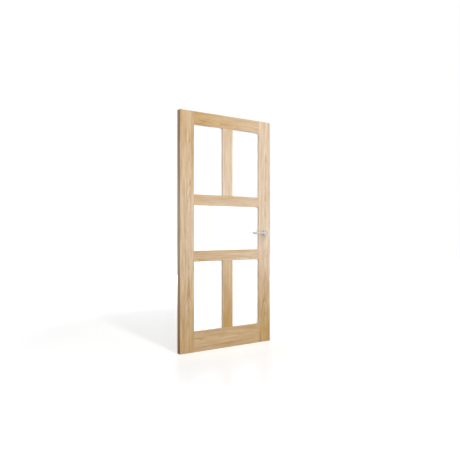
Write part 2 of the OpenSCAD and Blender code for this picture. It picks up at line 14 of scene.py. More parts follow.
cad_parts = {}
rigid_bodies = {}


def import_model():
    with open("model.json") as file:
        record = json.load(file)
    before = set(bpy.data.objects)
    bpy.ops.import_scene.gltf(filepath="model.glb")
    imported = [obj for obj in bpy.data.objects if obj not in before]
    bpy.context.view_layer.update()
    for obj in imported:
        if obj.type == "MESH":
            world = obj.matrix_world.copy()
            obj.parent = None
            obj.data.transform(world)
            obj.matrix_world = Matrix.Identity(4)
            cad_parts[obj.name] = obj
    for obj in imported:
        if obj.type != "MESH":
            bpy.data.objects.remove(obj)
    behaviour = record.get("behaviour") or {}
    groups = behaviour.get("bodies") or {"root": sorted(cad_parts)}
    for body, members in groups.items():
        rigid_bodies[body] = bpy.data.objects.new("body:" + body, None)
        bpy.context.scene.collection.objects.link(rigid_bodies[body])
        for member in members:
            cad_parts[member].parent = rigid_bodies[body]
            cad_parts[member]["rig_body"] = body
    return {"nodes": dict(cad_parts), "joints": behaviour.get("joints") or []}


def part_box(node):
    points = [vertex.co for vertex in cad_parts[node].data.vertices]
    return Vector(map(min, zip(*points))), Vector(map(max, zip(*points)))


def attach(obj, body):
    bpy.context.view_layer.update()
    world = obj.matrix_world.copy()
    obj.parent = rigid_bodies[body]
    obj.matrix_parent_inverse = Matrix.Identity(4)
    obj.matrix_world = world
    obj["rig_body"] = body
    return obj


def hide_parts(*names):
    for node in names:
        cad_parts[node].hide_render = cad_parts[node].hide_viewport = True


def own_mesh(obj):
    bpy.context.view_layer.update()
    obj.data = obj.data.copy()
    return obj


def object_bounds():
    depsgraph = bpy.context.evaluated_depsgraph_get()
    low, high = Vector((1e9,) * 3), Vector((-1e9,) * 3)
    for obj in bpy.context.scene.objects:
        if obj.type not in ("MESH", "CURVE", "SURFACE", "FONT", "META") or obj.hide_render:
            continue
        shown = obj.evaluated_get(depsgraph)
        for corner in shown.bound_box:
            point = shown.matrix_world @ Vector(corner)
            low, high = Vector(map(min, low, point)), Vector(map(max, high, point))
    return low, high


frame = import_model()
CAD_BOX = [list(corner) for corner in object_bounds()]

logging.basicConfig(level=logging.INFO, format="%(levelname)s %(message)s")
LOG = logging.getLogger("door")

Material = bpy.types.Material
Colour = tuple[float, float, float, float]
Point = tuple[float, float, float]
Pair = tuple[float, float]

MM = 0.001
QUARTER_TURN = math.pi / 2
BLACK: Colour = (0.0, 0.0, 0.0, 1.0)
WHITE: Colour = (1.0, 1.0, 1.0, 1.0)

# Name of the face attribute that marks eased arrises.
ARRIS = "arris"


def linear(part: int) -> float:
    """Linear value of one channel, 0 to 255, by the sRGB curve."""
    share = part / 255
    return share / 12.92 if share <= 0.04045 else ((share + 0.055) / 1.055) ** 2.4


def srgb(red: int, green: int, blue: int) -> Colour:
    """The linear colour that shaders use for a colour as seen on a screen."""
    return (linear(red), linear(green), linear(blue), 1.0)


def scaled(colour: Colour, factor: float) -> Colour:
    """The colour made darker or lighter by a factor."""
    red, green, blue = (min(1.0, part * factor) for part in colour[:3])
    return (red, green, blue, 1.0)


class Value:
    """What one node socket carries, such as a number that varies over a surface, with arithmetic."""

    def __init__(self, graph: "Graph", socket: bpy.types.NodeSocket) -> None:
        """Wrap one socket of a graph."""
        self.graph = graph
        self.socket = socket

    def out(self, name: str) -> "Value":
        """Another output of the same node."""
        return Value(self.graph, self.socket.node.outputs[name])

    def math(self, operation: str, *others: "Term", first: Optional["Term"] = None) -> "Value":
        """Add one Math node.

        Args:
            operation: The Math node's operation.
            others: The terms after this one.
            first: A term to stand before this one, for the reflected forms.

        Returns:
            The node's result.
        """
        terms = (self, *others) if first is None else (first, self)
        return self.graph.node("ShaderNodeMath", dict(enumerate(terms)), {"operation": operation})

    def __add__(self, other: "Term") -> "Value":
        """Sum."""
        return self.math("ADD", other)

    __radd__ = __add__

    def __mul__(self, other: "Term") -> "Value":
        """Product."""
        return self.math("MULTIPLY", other)

    __rmul__ = __mul__

    def __sub__(self, other: "Term") -> "Value":
        """Difference."""
        return self.math("SUBTRACT", other)

    def __rsub__(self, other: "Term") -> "Value":
        """Difference with this value last."""
        return self.math("SUBTRACT", first=other)

    def __truediv__(self, other: "Term") -> "Value":
        """Quotient."""
        return self.math("DIVIDE", other)

    def __rtruediv__(self, other: "Term") -> "Value":
        """Quotient with this value last."""
        return self.math("DIVIDE", first=other)

    def __pow__(self, other: "Term") -> "Value":
        """Power."""
        return self.math("POWER", other)

    def __rpow__(self, other: "Term") -> "Value":
        """Power with this value last."""
        return self.math("POWER", first=other)

    def __abs__(self) -> "Value":
        """Size without sign."""
        return self.math("ABSOLUTE")

    def root(self) -> "Value":
        """Square root."""
        return self.math("SQRT")

    def largest(self, other: "Term") -> "Value":
        """The larger of two."""
        return self.math("MAXIMUM", other)

    def smallest(self, other: "Term") -> "Value":
        """The smaller of two."""
        return self.math("MINIMUM", other)

    def centred(self) -> "Value":
        """This noise moved to lie about 0."""
        return self - 0.5

    def step(self, low: float, high: float) -> "Value":
        """Smooth step from 0 at low to 1 at high."""
        return self.graph.node("ShaderNodeMapRange", {"Value": self, "From Min": low, "From Max": high},
                               {"interpolation_type": "SMOOTHSTEP"})

    def clamp(self) -> "Value":
        """This value held between 0 and 1."""
        return self.graph.node("ShaderNodeClamp", {"Value": self})


Term = Union[Value, float]
Place = tuple[Value, Value, Value]


class Graph:
    """A node tree that is built with one call per node."""

    def __init__(self, tree: bpy.types.NodeTree) -> None:
        """Start from an empty tree."""
        self.tree = tree
        self.tree.nodes.clear()

    def node(self, kind: str, inputs: Optional[dict[Union[int, str], Any]] = None,
             settings: Optional[dict[str, Any]] = None, output: Union[int, str] = 0) -> Value:
        """Add a node.

        Args:
            kind: The node's type.
            inputs: Socket names or numbers with their values or links.
            settings: Properties, which are set before the inputs.
            output: The output to return.

        Returns:
            The chosen output, or the first input of a node that has no outputs.
        """
        made = self.tree.nodes.new(kind)
        for key, value in (settings or {}).items():
            setattr(made, key, value)
        for key, value in (inputs or {}).items():
            if isinstance(value, Value):
                self.tree.links.new(value.socket, made.inputs[key])
            else:
                made.inputs[key].default_value = value
        return Value(self, made.outputs[output] if len(made.outputs) else made.inputs[0])

    def vector(self, x: Term, y: Term, z: Term) -> Value:
        """A vector from three terms."""
        return self.node("ShaderNodeCombineXYZ", {0: x, 1: y, 2: z})

    def noise(self, place: Value, detail: float = 2.0, roughness: float = 0.5) -> Value:
        """Noise of unit scale at a place that is already stretched."""
        sockets = {"Vector": place, "Scale": 1.0, "Detail": detail, "Roughness": roughness}
        return self.node("ShaderNodeTexNoise", sockets, {"noise_dimensions": "3D"})

    def even_noise(self, place: Place, cycles: float, detail: float) -> Value:
        """Noise with the same number of cycles per metre in every direction."""
        return self.noise(self.vector(*(axis * cycles for axis in place)), detail)

    def mix(self, share: Term, low: Union[Value, Colour], high: Union[Value, Colour]) -> Value:
        """Mix two colours, by the share of the second one."""
        return self.node("ShaderNodeMix", {0: share, 6: low, 7: high},
                         {"data_type": "RGBA", "clamp_factor": True}, 2)

    def bump(self, height: Value, strength: float, distance: float) -> Value:
        """A normal tilted by a height in units of distance."""
        return self.node("ShaderNodeBump", {"Height": height, "Strength": strength, "Distance": distance})


class Surface(Graph):
    """A material whose shader is built node by node."""

    def __init__(self, name: str) -> None:
        """Make the material and its tree.

        Args:
            name: The material's name.
        """
        self.material = bpy.data.materials.new(name)
        self.material.use_nodes = True
        super().__init__(self.material.node_tree)

    def place(self) -> Place:
        """Read the shaded point.

        Returns:
            Its x, y and z in the object's own frame.
        """
        point = self.node("ShaderNodeTexCoord", output="Object")
        split = self.node("ShaderNodeSeparateXYZ", {0: point})
        return split, split.out("Y"), split.out("Z")

    def shade(self, **sockets: Any) -> Material:
        """Finish with a Principled shader.

        Args:
            sockets: Socket names, with _ for a space, and their values or links.

        Returns:
            The material.
        """
        named = {key.replace("_", " "): value for key, value in sockets.items()}
        shader = self.node("ShaderNodeBsdfPrincipled", named)
        self.node("ShaderNodeOutputMaterial", {"Surface": shader})
        return self.material


class Grain(Enum):
    """Direction of a board's grain."""

    UPRIGHT = "upright"
    LEVEL = "level"


class Lay(Enum):
    """Direction of the brush marks on metal."""

    ALONG_BAR = "along the lever's bar"
    ROUND_AXIS = "round the spindle"
    UPRIGHT = "upright"


@dataclass(frozen=True)
class Tones:
    """The lighter, darker and pore colours of one kind of oak."""

    light: Colour
    dark: Colour
    pore: Colour


HEARTWOOD = Tones(srgb(203, 168, 112), srgb(162, 121, 62), srgb(118, 84, 46))
PALE_WOOD = Tones(srgb(233, 215, 194), srgb(200, 170, 134), srgb(150, 119, 84))

# Painted shade on the leaf's hinge and lock edges, strongest where their wood isn't pale.
EDGE_SHADE = srgb(126, 83, 22)

# Lowest and highest corner of the leaf's oak.
LEAF_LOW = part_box("hinge_stile")[0]
LEAF_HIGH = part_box("lock_stile")[1]


@dataclass(frozen=True)
class Layer:
    """One layer of noise in wood: its cycles per metre across and along the grain and its weight in a sum.

    The shift is how far a seed of 1 moves the noise on each axis.
    """

    across: float
    along: float
    weight: float = 1.0
    detail: float = 2.0
    roughness: float = 0.5
    shift: Point = (0.0, 0.0, 0.0)

    def noise(self, s: Surface, board: Place, seed: float) -> Value:
        """Lay the noise out on a board.

        Args:
            s: The surface.
            board: The point across, through and along the board.
            seed: The board's seed.

        Returns:
            The noise, mostly between 0 and 1.
        """
        scales = (self.across, self.across, self.along)
        axes = [axis * scale for axis, scale in zip(board, scales)]
        moved = [axis + share * seed if share else axis for axis, share in zip(axes, self.shift)]
        return s.noise(s.vector(*moved), self.detail, self.roughness)


@dataclass(frozen=True)
class Figure:
    """Figure of oak: where its rings, streaks, fibres and pores run, and how much each of them counts."""

    # The weights of sway and curl are the metres by which they bend the year rings.
    sway: Layer = Layer(2.5, 1.3, 0.06, shift=(1.0, 0.0, 3.1))
    curl: Layer = Layer(16.0, 5.0, 0.008, shift=(0.0, 1.0, 0.0))
    band: Layer = Layer(26.0, 1.1, 0.7, 1.0, shift=(0.0, 0.0, 1.0))
    streak: Layer = Layer(95.0, 2.6, 1.7, 3.0, 0.65, (0.0, 0.0, 1.0))
    flame: Layer = Layer(48.0, 6.0, 1.4, 3.0, 0.6, (0.0, 0.0, 2.0))
    fibre: Layer = Layer(800.0, 14.0, 0.35, 2.0, 0.6)
    dash: Layer = Layer(1700.0, 55.0, detail=1.0)
    ring_width: float = 4.6 * MM
    ring_seed: float = 5.0
    taper: float = 0.026
    year_least: float = 0.35
    year_spread: float = 0.9
    early_start: float = 0.12
    early_fade: float = 1.6
    early_weight: float = 0.55
    early_mean: float = 0.1
    middle_shade: float = 0.4
    pore_edge: Pair = (0.56, 0.68)
    pore_late: float = 0.2
    pale_sway: float = 0.4


@dataclass(frozen=True)
class Tints:
    """How strongly parts of a board take another colour, and how turned faces and the painted shade of the
    leaf's edges are told.
    """

    pore: float = 0.45
    end_grain: float = 0.55
    shoulder: float = 0.3
    shoulder_width: float = 5.0 * MM
    worn: float = 0.25
    turned_face: Pair = (0.8, 0.95)
    edge_shade_depth: Pair = (1.0 * MM, 3.0 * MM)
    edge_shade_fade: float = 2.0


@dataclass(frozen=True)
class Lacquer:
    """Shine and relief of the lacquered face."""

    roughness: float = 0.44
    pore_dull: float = 0.2
    fibre_dull: float = 0.14
    edge_dull: float = 0.2
    worn_gloss: float = 0.08
    specular: float = 0.3
    fibre_height: float = 0.35
    pore_depth: float = 0.9
    early_depth: float = 0.25
    bump: float = 0.35
    relief: float = 0.15 * MM


@dataclass(frozen=True)
class OakFinish:
    """Lacquered oak: year rings round a heart that lies off the board, streaks, pores and worn arrises.

    Attributes:
        heart: Where the tree's heart lay, across and through the board.
        seed: Sets this board's noise.
        pale: Share of pale wood at the start, middle and end of the span, partly painted light and sheen.
        span: Where the board's visible face starts and ends along its grain.
        bold: Contrast of the figure.
        jointed: Whether the board ends in joints, which darken it, partly as painted shade.
    """

    name: str
    grain: Grain
    heart: Pair
    seed: float
    pale: tuple[float, float, float]
    span: Pair
    bold: float = 1.0
    jointed: bool = False
    figure: Figure = Figure()
    tints: Tints = Tints()
    lacquer: Lacquer = Lacquer()

    def build(self) -> Material:
        """Make the material.

        Returns:
            The material.
        """
        s = Surface(self.name)
        x, y, z = s.place()
        board = (x, y, z) if self.grain is Grain.UPRIGHT else (z, y, x)
        look, tints, lacquer = self.figure, self.tints, self.lacquer
        layers = (look.sway, look.band, look.streak, look.flame, look.fibre, look.dash)
        sway, band, streak, flame, fibre, dash = (layer.noise(s, board, self.seed) for layer in layers)
        early = self._early_wood(s, board, sway)
        pores = dash.step(*look.pore_edge) * (look.pore_late + early * (1.0 - look.pore_late))
        figure = streak.centred() * look.streak.weight + flame.centred() * look.flame.weight
        figure = figure + band.centred() * look.band.weight + fibre.centred() * look.fibre.weight
        contrast = (early * look.early_weight - look.early_mean + figure) * self.bold
        shade = (contrast + look.middle_shade).clamp()
        # Part of this blend is painted light and sheen: paler where the door's face takes more light, darker
        # towards its bottom.
        paleness_and_sheen = self._paleness_and_painted_sheen(board[2], sway)
        tones = zip(astuple(HEARTWOOD), astuple(PALE_WOOD))
        light, dark, pore = (s.mix(paleness_and_sheen, heart, pale) for heart, pale in tones)
        colour = s.mix(shade, light, dark)
        colour = s.mix(pores * tints.pore, colour, pore)
        end, flank = self._turned_faces(s)
        colour = s.mix(end * tints.end_grain, colour, HEARTWOOD.dark)
        # Painted shade on the leaf's two narrow edges, darker where the wood is less pale, towards the
        # bottom.
        if self.grain is Grain.UPRIGHT:
            edge_shaded = self._outer_edges(x, flank) * (1.0 - paleness_and_sheen) ** tints.edge_shade_fade
            colour = s.mix(edge_shaded, colour, EDGE_SHADE)
        # Darker at the joints: a dark joint line, partly painted shade of the groove between the parts.
        if self.jointed:
            colour = s.mix(self._by_joints(board[2]) * tints.shoulder, colour, HEARTWOOD.dark)
        worn = s.node("ShaderNodeAttribute", settings={"attribute_name": ARRIS}, output="Fac")
        colour = s.mix(worn * tints.worn, colour, PALE_WOOD.light)
        height = fibre * lacquer.fibre_height - pores * lacquer.pore_depth - early * lacquer.early_depth
        dull = lacquer.roughness + pores * lacquer.pore_dull + fibre.centred() * lacquer.fibre_dull
        rough = dull - worn * lacquer.worn_gloss + (end + flank) * lacquer.edge_dull
        return s.shade(Base_Color=colour, Roughness=rough, Specular_IOR_Level=lacquer.specular,
                       Normal=s.bump(height, lacquer.bump, lacquer.relief))

    def _early_wood(self, s: Surface, board: Place, sway: Value) -> Value:
        """Find the open early wood at the start of each year's ring.

        Args:
            s: The surface.
            board: The point across, through and along the board.
            sway: Slow noise that the rings wander by.

        Returns:
            0 in late wood, rising to each year's own strength.
        """
        look = self.figure
        across, through, along = board
        curl = look.curl.noise(s, board, self.seed)
        side = across - self.heart[0] + sway.centred() * look.sway.weight
        depth = through - self.heart[1]
        straight = (side * side + depth * depth).root() + along * look.taper
        radius = straight + curl.centred() * look.curl.weight
        rings = radius / look.ring_width + self.seed * look.ring_seed
        phase = rings.math("FRACT")
        year = s.node("ShaderNodeTexWhiteNoise", {"W": rings.math("FLOOR")}, {"noise_dimensions": "1D"})
        strength = look.year_least + year * look.year_spread
        return (1.0 - phase) ** look.early_fade * phase.step(0.0, look.early_start) * strength

    def _paleness_and_painted_sheen(self, along: Value, sway: Value) -> Value:
        """Blend from heartwood to pale wood along the board, partly as painted light and sheen.

        Args:
            along: The point's place along the grain.
            sway: Slow noise that the blend wanders by.

        Returns:
            0 for heartwood to 1 for pale wood.
        """
        first, mid, last = self.pale
        start, end = self.span
        centre = (start + end) / 2
        rise = along.step(start, centre) * (mid - first) + along.step(centre, end) * (last - mid)
        return (rise + first + sway.centred() * self.figure.pale_sway).clamp()

    def _turned_faces(self, s: Surface) -> tuple[Value, Value]:
        """Find the faces that are not the board's two broad ones.

        Args:
            s: The surface.

        Returns:
            1 on faces that cut across the grain, and 1 on the narrow long faces.
        """
        normal = s.node("ShaderNodeNewGeometry", output="Normal")
        facing = s.node("ShaderNodeSeparateXYZ", {0: normal})
        level, upright = (abs(part).step(*self.tints.turned_face) for part in (facing, facing.out("Z")))
        return (upright, level) if self.grain is Grain.UPRIGHT else (level, upright)

    def _outer_edges(self, x: Value, flank: Value) -> Value:
        """1 on the leaf's own two edges, among the narrow long faces."""
        inset = (x - LEAF_LOW.x).smallest(LEAF_HIGH.x - x)
        return flank * (1.0 - inset.step(*self.tints.edge_shade_depth))

    def _by_joints(self, along: Value) -> Value:
        """1 at the board's two ends, falling to 0 within a shoulder's width."""
        inset = (along - self.span[0]).smallest(self.span[1] - along)
        return 1.0 - inset.step(0.0, self.tints.shoulder_width)


@dataclass(frozen=True)
class GlassFinish:
    """Etched glass: light comes through, and what is behind stays a soft shape."""

    name: str = "satin_glass"
    tint: Colour = (0.98, 0.99, 0.985, 1.0)
    clearness: float = 0.5
    ior: float = 1.5
    roughness: float = 0.7
    clouding: float = 0.05
    cloud_cycles: float = 9.0
    etch_cycles: float = 2500.0
    bump: float = 0.05
    relief: float = 0.02 * MM

    def build(self) -> Material:
        """Make the material.

        Returns:
            The material.
        """
        s = Surface(self.name)
        place = s.place()
        cloud = s.even_noise(place, self.cloud_cycles, detail=3.0)
        etch = s.even_noise(place, self.etch_cycles, detail=1.0)
        return s.shade(Base_Color=self.tint, Roughness=self.roughness + cloud.centred() * self.clouding,
                       Transmission_Weight=self.clearness, IOR=self.ior,
                       Normal=s.bump(etch, self.bump, self.relief))


@dataclass(frozen=True)
class MetalFinish:
    """Brushed or plated metal: fine marks along one lay, and clouds of wear.

    Marks can run round an axis, whose x and z are the centre. Cycles are per metre, along or across the lay.
    """

    name: str
    colour: Colour
    lay: Lay
    centre: Pair = (0.0, 0.0)
    roughness: float = 0.3
    marks: float = 0.25
    anisotropy: float = 0.35
    along_cycles: float = 60.0
    across_cycles: float = 3000.0
    cloud_cycles: float = 40.0
    cloud_edge: float = 0.4
    cloud_tint: float = 0.5
    worn_shade: float = 0.82
    mark_shade: float = 0.72
    mark_dull: float = 0.14
    cloud_dull: float = 0.08
    bump: float = 0.12
    relief: float = 0.03 * MM

    def build(self) -> Material:
        """Make the material.

        Returns:
            The material.
        """
        s = Surface(self.name)
        place = s.place()
        brush = s.noise(self._stretched(s, place), detail=2.0, roughness=0.6)
        cloud = s.even_noise(place, self.cloud_cycles, detail=3.0)
        worn = (cloud - self.cloud_edge).clamp() * self.cloud_tint
        colour = s.mix(worn, self.colour, scaled(self.colour, self.worn_shade))
        colour = s.mix(brush * self.marks, colour, scaled(self.colour, self.mark_shade))
        rough = self.roughness + brush.centred() * self.mark_dull + cloud.centred() * self.cloud_dull
        return s.shade(Base_Color=colour, Metallic=1.0, Anisotropic=self.anisotropy, Roughness=rough,
                       Normal=s.bump(brush, self.bump, self.relief))

    def _stretched(self, s: Surface, place: Place) -> Value:
        """Stretch the point so that noise there runs along the lay.

        Args:
            s: The surface.
            place: The point.

        Returns:
            The stretched point.
        """
        x, y, z = place
        along, across = self.along_cycles, self.across_cycles
        if self.lay is Lay.ALONG_BAR:
            return s.vector(x * along, y * across, z * across)
        if self.lay is Lay.UPRIGHT:
            return s.vector(x * across, y * across, z * along)
        side, rise = x - self.centre[0], z - self.centre[1]
        ring = (side * side + rise * rise).root()
        return s.vector(ring * across, y * across, 0.0)


@dataclass(frozen=True)
class RubberFinish:
    """Matt gasket rubber with a faint moulded skin and a paler bloom."""

    name: str = "gasket_rubber"
    colour: Colour = srgb(176, 150, 118)
    bloom_shade: float = 1.25
    bloom_edge: float = 0.35
    bloom_cycles: float = 25.0
    skin_cycles: float = 900.0
    roughness: float = 0.72
    skin_dull: float = 0.2
    bump: float = 0.2
    relief: float = 0.05 * MM

    def build(self) -> Material:
        """Make the material.

        Returns:
            The material.
        """
        s = Surface(self.name)
        place = s.place()
        skin = s.even_noise(place, self.skin_cycles, detail=3.0)
        bloom = s.even_noise(place, self.bloom_cycles, detail=2.0)
        colour = s.mix((bloom - self.bloom_edge).clamp(), self.colour, scaled(self.colour, self.bloom_shade))
        return s.shade(Base_Color=colour, Roughness=self.roughness + skin.centred() * self.skin_dull,
                       Normal=s.bump(skin, self.bump, self.relief))


def dress(thing: bpy.types.Object, material: Material) -> None:
    """Give an object one material in place of any others."""
    thing.data.materials.clear()
    thing.data.materials.append(material)


def add_object(name: str, data: bpy.types.ID) -> bpy.types.Object:
    """Put a mesh, lamp or camera into the scene as an object at the origin.

    Args:
        name: The object's name.
        data: What the object holds.

    Returns:
        The object.
    """
    thing = bpy.data.objects.new(name, data)
    bpy.context.scene.collection.objects.link(thing)
    return thing


def middle(edge: bmesh.types.BMEdge) -> Vector:
    """Middle point of an edge."""
    return (edge.verts[0].co + edge.verts[1].co) / 2


# How near points and how level faces are taken as one, and which edges are sharp.
WELD = 0.005 * MM
FLAT = math.radians(0.3)
SHARP = math.radians(20)

# Faces across an eased arris, and how full its rounding is.
EASE_STEPS = 2
EASE_FULLNESS = 0.6


def eased_copy(node: str, width: float, chosen: Callable[[bmesh.types.BMEdge], bool]) -> bpy.types.Object:
    """Copy a node as whole flat faces with some of its arrises eased.

    Args:
        node: Name of the node, which the copy replaces.
        width: Width of the eased arris.
        chosen: Says whether an outer edge is eased.

    Returns:
        The new object, riding where the node does.
    """
    source = frame["nodes"][node]
    work = bmesh.new()
    work.from_mesh(source.data)
    layer = work.faces.layers.float.new(ARRIS)
    bmesh.ops.remove_doubles(work, verts=work.verts, dist=WELD)
    bmesh.ops.dissolve_limit(work, angle_limit=FLAT, verts=work.verts, edges=work.edges)
    arrises = [edge for edge in work.edges if edge.is_manifold and edge.is_convex
               and edge.calc_face_angle(0.0) > SHARP and chosen(edge)]
    eased = bmesh.ops.bevel(work, geom=arrises, offset=width, segments=EASE_STEPS, profile=EASE_FULLNESS,
                            affect="EDGES", clamp_overlap=True)
    for face in eased["faces"]:
        face[layer] = 1.0
    mesh = bpy.data.meshes.new(node + "_eased")
    for face in work.faces:
        face.smooth = False
    work.to_mesh(mesh)
    work.free()
    made = add_object(node + "_eased", mesh)
    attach(made, source["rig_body"])
    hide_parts(node)
    return made


class StampTree(Graph):
    """A Geometry Nodes tree with named inputs that ends in plain mesh of one material."""

    def __init__(self, name: str) -> None:
        """Make the tree with a geometry input and output.

        Args:
            name: The tree's name.
        """
        tree = bpy.data.node_groups.new(name, "GeometryNodeTree")
        super().__init__(tree)
        tree.interface.new_socket("Geometry", in_out="INPUT", socket_type="NodeSocketGeometry")
        tree.interface.new_socket("Geometry", in_out="OUTPUT", socket_type="NodeSocketGeometry")
        self.entry = tree.nodes.new("NodeGroupInput")
        self.source = Value(self, self.entry.outputs[0])
        self.values: dict[str, Any] = {}

    def input(self, name: str, value: Union[float, int]) -> Value:
        """Add a named number input.

        Args:
            name: The input's name.
            value: Its value on the modifier.

        Returns:
            The input as a value.
        """
        kind = "NodeSocketInt" if isinstance(value, int) else "NodeSocketFloat"
        socket = self.tree.interface.new_socket(name, in_out="INPUT", socket_type=kind)
        self.values[socket.identifier] = value
        return Value(self, next(s for s in self.entry.outputs if s.identifier == socket.identifier))

    def settle(self, thing: bpy.types.Object, result: Value, material: Material) -> None:
        """Run the tree on an object and leave a plain mesh.

        Args:
            thing: The object that carries the input mesh.
            result: The geometry to keep.
            material: Its material.
        """
        whole = self.node("GeometryNodeRealizeInstances", {0: result})
        painted = self.node("GeometryNodeSetMaterial", {0: whole, "Material": material})
        self.node("NodeGroupOutput", {0: painted})
        modifier = thing.modifiers.new("build", "NODES")
        modifier.node_group = self.tree
        for identifier, value in self.values.items():
            modifier[identifier] = value
        depsgraph = bpy.context.evaluated_depsgraph_get()
        mesh = bpy.data.meshes.new_from_object(thing.evaluated_get(depsgraph))
        thing.modifiers.clear()
        thing.data = mesh
        dress(thing, material)


# The rail below and the rail above each mullion.
MULLION_RAILS = {
    "upper_mullion": ("upper_mid_rail", "top_rail"),
    "lower_mullion": ("bottom_rail", "lower_mid_rail"),
}


@dataclass(frozen=True)
class Member:
    """One oak member: its node, and its board as OakFinish describes it."""

    node: str
    grain: Grain
    heart: Pair
    seed: float
    pale: tuple[float, float, float]
    bold: float = 0.7
    jointed: bool = True

    def span(self) -> Pair:
        """Find where the member's face starts and ends along its grain, without tenons.

        Returns:
            The two ends along the grain.
        """
        low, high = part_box(self.node)
        if not self.jointed:
            return low.z, high.z
        if self.grain is Grain.LEVEL:
            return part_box("hinge_stile")[1].x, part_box("lock_stile")[0].x
        below, above = MULLION_RAILS[self.node]
        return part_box(below)[1].z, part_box(above)[0].z


@dataclass
class OakFrame:
    """The stiles, rails and mullions, each from its own board."""

    arris: float = 0.9 * MM
    shortest_arris: float = 12 * MM
    face_band: float = 5 * MM
    forend_margin: float = 1 * MM
    forend: tuple[Vector, Vector] = field(default_factory=lambda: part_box("forend"))
    # The pale shares are partly painted light: paler towards the middle and upper right of the door, where
    # light and sheen fall, and darker towards its bottom.
    members: tuple[Member, ...] = (
        Member("hinge_stile", Grain.UPRIGHT, (-0.385, 0.045), 1.3, (0.2, 0.8, 0.5), 1.0, False),
        Member("lock_stile", Grain.UPRIGHT, (0.412, 0.052), 4.7, (0.0, 0.9, 0.95), 1.0, False),
        Member("top_rail", Grain.LEVEL, (1.93, 0.06), 7.9, (0.1, 0.35, 0.58)),
        Member("upper_mid_rail", Grain.LEVEL, (1.33, 0.07), 2.6, (0.5, 0.6, 0.7)),
        Member("lower_mid_rail", Grain.LEVEL, (0.77, 0.05), 9.4, (0.4, 0.55, 0.75)),
        Member("bottom_rail", Grain.LEVEL, (0.10, 0.045), 5.8, (0.42, 0.32, 0.26)),
        Member("upper_mullion", Grain.UPRIGHT, (0.12, 0.12), 3.5, (1.0, 0.95, 0.8)),
        Member("lower_mullion", Grain.UPRIGHT, (-0.13, 0.10), 8.2, (0.0, 0.2, 0.45)),
    )

    def build(self) -> None:
        """Ease every member's arrises and dress it in its own oak."""
        for member in self.members:
            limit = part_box(member.node)[1].y - self.face_band
            made = eased_copy(member.node, self.arris, lambda edge: self._is_eased(edge, limit))
            finish = OakFinish("oak_" + member.node, member.grain, member.heart, member.seed, member.pale,
                               member.span(), member.bold, member.jointed)
            dress(made, finish.build())
            LOG.info("member %s, %d faces", member.node, len(made.data.polygons))

    def _is_eased(self, edge: bmesh.types.BMEdge, limit: float) -> bool:
        """Say whether an edge is long, on a face of the leaf and away from the forend.

        Args:
            edge: The edge.
            limit: Distance from the middle of the leaf's thickness at which a face begins.

        Returns:
            Whether the edge is eased.
        """
        at = middle(edge)
        if abs(at.y) <= limit or edge.calc_length() <= self.shortest_arris:
            return False
        low, high = self.forend
        beside = low.z - self.forend_margin < at.z < high.z + self.forend_margin
        return not (beside and at.x > low.x - self.forend_margin)


class Side(Enum):
    """Side of a light, by the direction in which it lies."""

    BOTTOM = (0, 0, -1)
    TOP = (0, 0, 1)
    LEFT = (-1, 0, 0)
    RIGHT = (1, 0, 0)


